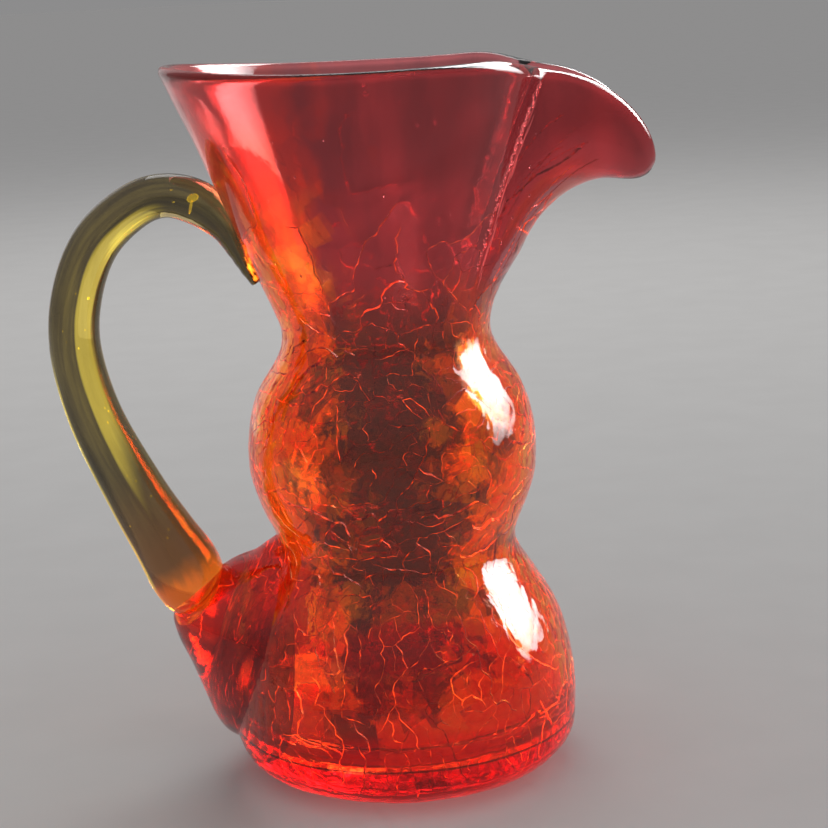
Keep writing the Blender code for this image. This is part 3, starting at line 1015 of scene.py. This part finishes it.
def ruby_glass():
    """Dark ruby at the middle, and orange in ragged patches towards the sides, painted light that stands in
    for light caught through the glass, with a painted glow; crimson in the thick base, with a painted dark
    line on top of it that stands in for the inner floor's rim seen through the base."""
    material, tree, shader = new_material("ruby_crackle_glass")
    as_glass(shader, 0.02)
    n = Nodes(tree)
    place = n.place()
    x, y, z = n.axes(place)[:3]
    patches = n.noise(place, 45, detail=3, distortion=0.6)
    cells = n.cells(place, 130)
    mottle = n.noise(place, 260, detail=4, distortion=1.2)
    streaks = n.noise(place, 75, detail=3, stretch=(1, 1, 0.1), distortion=0.3)

    radius = n.math("SQRT", n.math("ADD", n.math("MULTIPLY", x, x), n.math("MULTIPLY", y, y)))
    # Painted dark line on the outer skin, standing in for the inner floor's rim seen through the base.
    painted_dark_line = n.both(n.between(z, *PAINTED_LINE_LOW), n.between(z, *PAINTED_LINE_HIGH), n.between(radius, *OUTER_SKIN))
    inner_floor = n.both(n.between(z, *INNER_FLOOR_TOP), n.between(radius, *INNER_FLOOR_EDGE))
    inner_floor = n.both(inner_floor, n.between(z, *INNER_FLOOR_FOOT))
    above_base = n.between(n.math("ADD", z, n.centred(mottle, 0.001)), *BASE_TOP)
    above_base = n.math("MAXIMUM", above_base, inner_floor)
    painted_light_mask = painted_light_share(n, x, y, z, patches, cells, mottle, streaks)
    # The inner floor takes the painted light too.
    painted_light_mask = n.math("MAXIMUM", painted_light_mask, inner_floor)

    dark = n.mix(n.between(mottle, 0.5, 0.72), colour(0.38, 0.17, 0.12), colour(0.68, 0.12, 0.08))
    # The mouth's pinker streaks: partly its own tint, partly a painted reflection standing in for the streaky
    # pinkish reflection on it.
    mouth_tint_and_sheen = n.mix(n.between(streaks, 0.4, 0.62), colour(0.66, 0.17, 0.19), colour(0.84, 0.2, 0.22))
    ruby = n.mix(n.between(z, *NECK_COLOUR), dark, mouth_tint_and_sheen)
    # The painted light's colours: orange, with paler spots, and redder on the mouth.
    painted_light_colour = n.mix(n.between(mottle, 0.4, 0.6), colour(1.0, 0.22, 0.03), colour(1.0, 0.36, 0.05))
    painted_light_colour = n.mix(n.between(cells, 0.84, 0.88), painted_light_colour, colour(1.0, 0.55, 0.08))
    painted_light_colour = n.mix(n.between(z, *MOUTH_COLOUR), painted_light_colour, colour(1.0, 0.16, 0.1))
    glass = n.mix(painted_light_mask, ruby, painted_light_colour)
    glass = n.mix(n.between(z, *RED_BAND_TOP), colour(1.0, 0.012, 0.001), glass)
    glass = n.mix(above_base, colour(0.75, 0.00005, 0.0008), glass)
    glass = n.mix(painted_dark_line, glass, colour(0.05, 0.001, 0.001))
    n.link(glass, shader.inputs["Base Color"])

    glow = n.both(painted_light_mask, n.both(above_base, n.math("SUBTRACT", 1.0, painted_dark_line)))
    glow = n.both(glow, n.between(mottle, 0.3, 0.62, 0.35, 1.0))
    shader.inputs["Emission Strength"].default_value = PAINTED_LIGHT_GLOW
    light = n.mix(n.between(z, *MOUTH_COLOUR), colour(1.0, 0.055, 0.002), colour(1.0, 0.025, 0.01))
    n.link(n.mix(glow, BLACK, light), shader.inputs["Emission Color"])

    n.link(n.bump(n.noise(place, 900, detail=2), 0.05, 0.0004), shader.inputs["Normal"])
    n.link(n.between(patches, 0.3, 0.8, 0.015, 0.06), shader.inputs["Roughness"])
    return material


def crackle_glass():
    """The cracks, with painted light: a random glint per crack makes some bright orange and glowing, as if
    they caught light, and leaves others dark red.
    """
    material, tree, shader = new_material("crackle")
    as_glass(shader, 0.25)
    n = Nodes(tree)
    shader.inputs["Transmission Weight"].default_value = 0.6
    place = n.place()
    glint = n.add("ShaderNodeAttribute", attribute_name="glint").outputs["Fac"]
    glint = n.math("ADD", glint, n.centred(n.noise(place, 1500, detail=1), 0.7))
    line = n.mix(n.between(glint, 0.1, 0.6), colour(0.4, 0.02, 0.01), colour(1.0, 0.10, 0.01))
    line = n.mix(n.between(glint, 0.75, 1.1), line, colour(1.0, 0.2, 0.02))
    n.link(line, shader.inputs["Base Color"])
    # Painted glow on the glinting cracks, fading out towards the mouth.
    shader.inputs["Emission Strength"].default_value = CRACK_GLOW
    calm = n.between(n.axes(place)[2], 0.145, 0.175, 1.0, 0.25)
    lit = n.math("MULTIPLY", n.between(glint, 0.5, 1.05), calm)
    n.link(n.mix(lit, BLACK, colour(1.0, 0.11, 0.012)), shader.inputs["Emission Color"])
    return material


def bubble_glass(name, tint, glow):
    """A bubble's pale skin, a little uneven, with the given glow as painted light."""
    material, tree, shader = new_material(name)
    as_glass(shader, 0.05)
    n = Nodes(tree)
    shade = n.between(n.noise(n.place(), 1200, detail=1), 0.3, 0.7)
    darker = colour(*[0.8 * value for value in tint[:3]])
    n.link(n.mix(shade, darker, tint), shader.inputs["Base Color"])
    shader.inputs["Emission Color"].default_value = tint
    shader.inputs["Emission Strength"].default_value = glow
    return material


def amber_glass():
    """Smoky olive with fine lengthwise streaks; painted light in a bright yellow band inside the bend and a
    thin one outside it on the lower half, standing in for light focussed through the rod; and orange at the
    thick end, with a faint painted glow."""
    material, tree, shader = new_material("amber_glass")
    as_glass(shader, 0.015)
    n = Nodes(tree)
    share = n.add("ShaderNodeAttribute", attribute_name="share").outputs["Fac"]
    inward = n.add("ShaderNodeAttribute", attribute_name="inward").outputs["Fac"]
    streaks = n.noise(n.along(inward, share), 6, detail=3)
    core = n.mix(n.between(streaks, 0.35, 0.7), colour(0.13, 0.1, 0.055), colour(0.3, 0.23, 0.08))
    core = n.mix(n.between(share, 0.7, 0.9), core, colour(0.28, 0.13, 0.05))
    # Painted light: a yellow band inside the bend and a thin line outside it, standing in for light focussed
    # through the rod.
    upper = n.between(n.math("ADD", share, n.centred(streaks, 0.05)), 0.2, 0.3)
    tapered = n.math("ADD", share, n.math("MULTIPLY", inward, 0.14))
    lower = n.between(n.math("ADD", tapered, n.centred(streaks, 0.05)), 0.84, 0.7)
    offset = n.math("ADD", inward, n.centred(streaks, 0.25))
    painted_stripe = n.both(n.between(offset, 0.1, 0.25), n.between(offset, 0.85, 0.7), upper, lower)
    painted_edge_line = n.both(n.between(offset, -0.78, -0.9), n.between(share, 0.5, 0.6))
    yellow = n.math("MAXIMUM", painted_stripe, painted_edge_line)
    # Orange at the thick end, with a faint painted glow.
    end = n.between(n.math("ADD", share, n.centred(streaks, 0.03)), 0.9, 0.93)
    amber = n.mix(yellow, core, colour(1.0, 0.85, 0.18))
    amber = n.mix(end, amber, colour(0.9, 0.25, 0.03))
    n.link(amber, shader.inputs["Base Color"])
    shader.inputs["Emission Strength"].default_value = STRIPE_GLOW
    glow = n.mix(yellow, BLACK, colour(1.0, 0.72, 0.04))
    glow = n.mix(n.math("MULTIPLY", end, 0.4), glow, colour(1.0, 0.12, 0.0))
    n.link(glow, shader.inputs["Emission Color"])
    n.link(n.bump(streaks, 0.12, 0.0005), shader.inputs["Normal"])
    return material


def gather_glass():
    """Dull rose red, clearing to orange where the rod was drawn out of it."""
    material, tree, shader = new_material("red_glass")
    as_glass(shader, 0.03)
    n = Nodes(tree)
    place = n.place()
    x, _, z = n.axes(place)[:3]
    clouds = n.noise(place, 70, detail=3, distortion=1.0)
    red = n.mix(n.between(clouds, 0.35, 0.7), colour(0.26, 0.025, 0.025), colour(0.44, 0.035, 0.025))
    drawn = n.math("ADD", n.math("SUBTRACT", z, n.math("MULTIPLY", x, 0.35)), n.centred(clouds, 0.016))
    red = n.mix(n.between(drawn, 0.064, 0.072), red, colour(1.0, 0.3, 0.05))
    n.link(red, shader.inputs["Base Color"])
    n.link(n.bump(clouds, 0.1, 0.001), shader.inputs["Normal"])
    return material


# -------- stage

FLOOR_GAP = 0.1 * MM
MIDDLE = (0, 0, 0.11)
# Each lamp's name, place, aim, size (m), power (W) and spread (degrees). The windows give the white
# reflections and light only the pitcher; the last lamp lights the whole scene from behind.
WINDOWS = [
    ("right_window", (0.64, 0.14, 0.42), MIDDLE, (0.42, 0.75), 2.6, 60),
    ("lip_window", (0.45, 0.34, 0.76), (0.07, 0, 0.2), (0.5, 0.5), 2.4, 70),
    ("left_box", (-0.42, 0.62, 0.28), MIDDLE, (0.35, 0.9), 0.11, 90),
]
BACK_BOX = ("back_box", (0.05, 1.0, 1.2), (0, 0.5, 0), (1.0, 0.8), 5.0, 180)
EYE = Vector((0, -0.5653, 0.2298))
AIM = Vector((0, 0, 0.10707))
ROLL = radians(-2.974)
LENS = 84.8
SIDE_SHIFT = 0.0282


def make_floor():
    """A wide pale floor just under the pitcher's flat underside."""
    bpy.ops.mesh.primitive_plane_add(size=200)
    floor = bpy.context.object
    floor.name = "floor"
    floor.location.z = -FLOOR_GAP
    material, tree, shader = new_material("pale_floor")
    n = Nodes(tree)
    grain = n.noise(n.place(), 30, detail=4)
    n.link(n.mix(grain, colour(0.74, 0.73, 0.71), colour(0.8, 0.79, 0.77)), shader.inputs["Base Color"])
    shader.inputs["Roughness"].default_value = 0.9
    shader.inputs["Specular IOR Level"].default_value = 0.0
    floor.data.materials.append(material)


def add_softbox(name, place, aim, size, power, spread):
    """A soft rectangular lamp."""
    light = bpy.data.lights.new(name, "AREA")
    light.shape = "RECTANGLE"
    light.size, light.size_y = size
    light.energy = power
    light.spread = radians(spread)
    lamp = bpy.data.objects.new(name, light)
    bpy.context.scene.collection.objects.link(lamp)
    lamp.location = place
    lamp.rotation_euler = (Vector(aim) - Vector(place)).to_track_quat("-Z", "Y").to_euler()
    lamp.visible_camera = False
    return lamp


def light_only(lamp, pieces):
    """Keeps a lamp's light to the given pieces, and off the floor seen through them."""
    lamp.light_linking.receiver_collection = pieces
    lamp.data.use_nodes = True
    tree = lamp.data.node_tree
    n = Nodes(tree)
    bounces = n.add("ShaderNodeLightPath").outputs["Diffuse Depth"]
    n.link(n.math("LESS_THAN", bounces, 0.5), tree.nodes["Emission"].inputs["Strength"])


def make_world():
    """An even grey room that brightens a little upward; its horizon has the far floor's brightness."""
    world = bpy.data.worlds.new("soft_room")
    world.use_nodes = True
    n = Nodes(world.node_tree)
    up = n.axes(n.add("ShaderNodeTexCoord").outputs["Generated"])[2]
    sky = n.mix(n.between(up, 0.0, 0.6), colour(0.265, 0.263, 0.265), colour(0.36, 0.36, 0.37))
    n.link(sky, world.node_tree.nodes["Background"].inputs["Color"])
    bpy.context.scene.world = world


def make_lights():
    """The lamps; all mesh objects made so far are the ones the windows light."""
    pitcher = bpy.data.collections.new("pitcher")
    for piece in bpy.context.scene.objects:
        if piece.type == "MESH":
            pitcher.objects.link(piece)
    for window in WINDOWS:
        light_only(add_softbox(*window), pitcher)
    add_softbox(*BACK_BOX)


def make_camera():
    """The camera at the photo's viewing angle."""
    camera = bpy.data.cameras.new("camera")
    camera.lens = LENS
    camera.sensor_width = 36
    camera.shift_x = SIDE_SHIFT
    camera.clip_start, camera.clip_end = 0.01, 400
    seat = bpy.data.objects.new("camera", camera)
    bpy.context.scene.collection.objects.link(seat)
    seat.matrix_world = (
        Matrix.Translation(EYE)
        @ (AIM - EYE).to_track_quat("-Z", "Y").to_matrix().to_4x4()
        @ Matrix.Rotation(ROLL, 4, "Z")
    )
    bpy.context.scene.camera = seat


make_camera()
make_vessel()
make_handle()
make_gather()
make_lights()
make_world()
make_floor()
bpy.context.scene.view_settings.view_transform = "Standard"
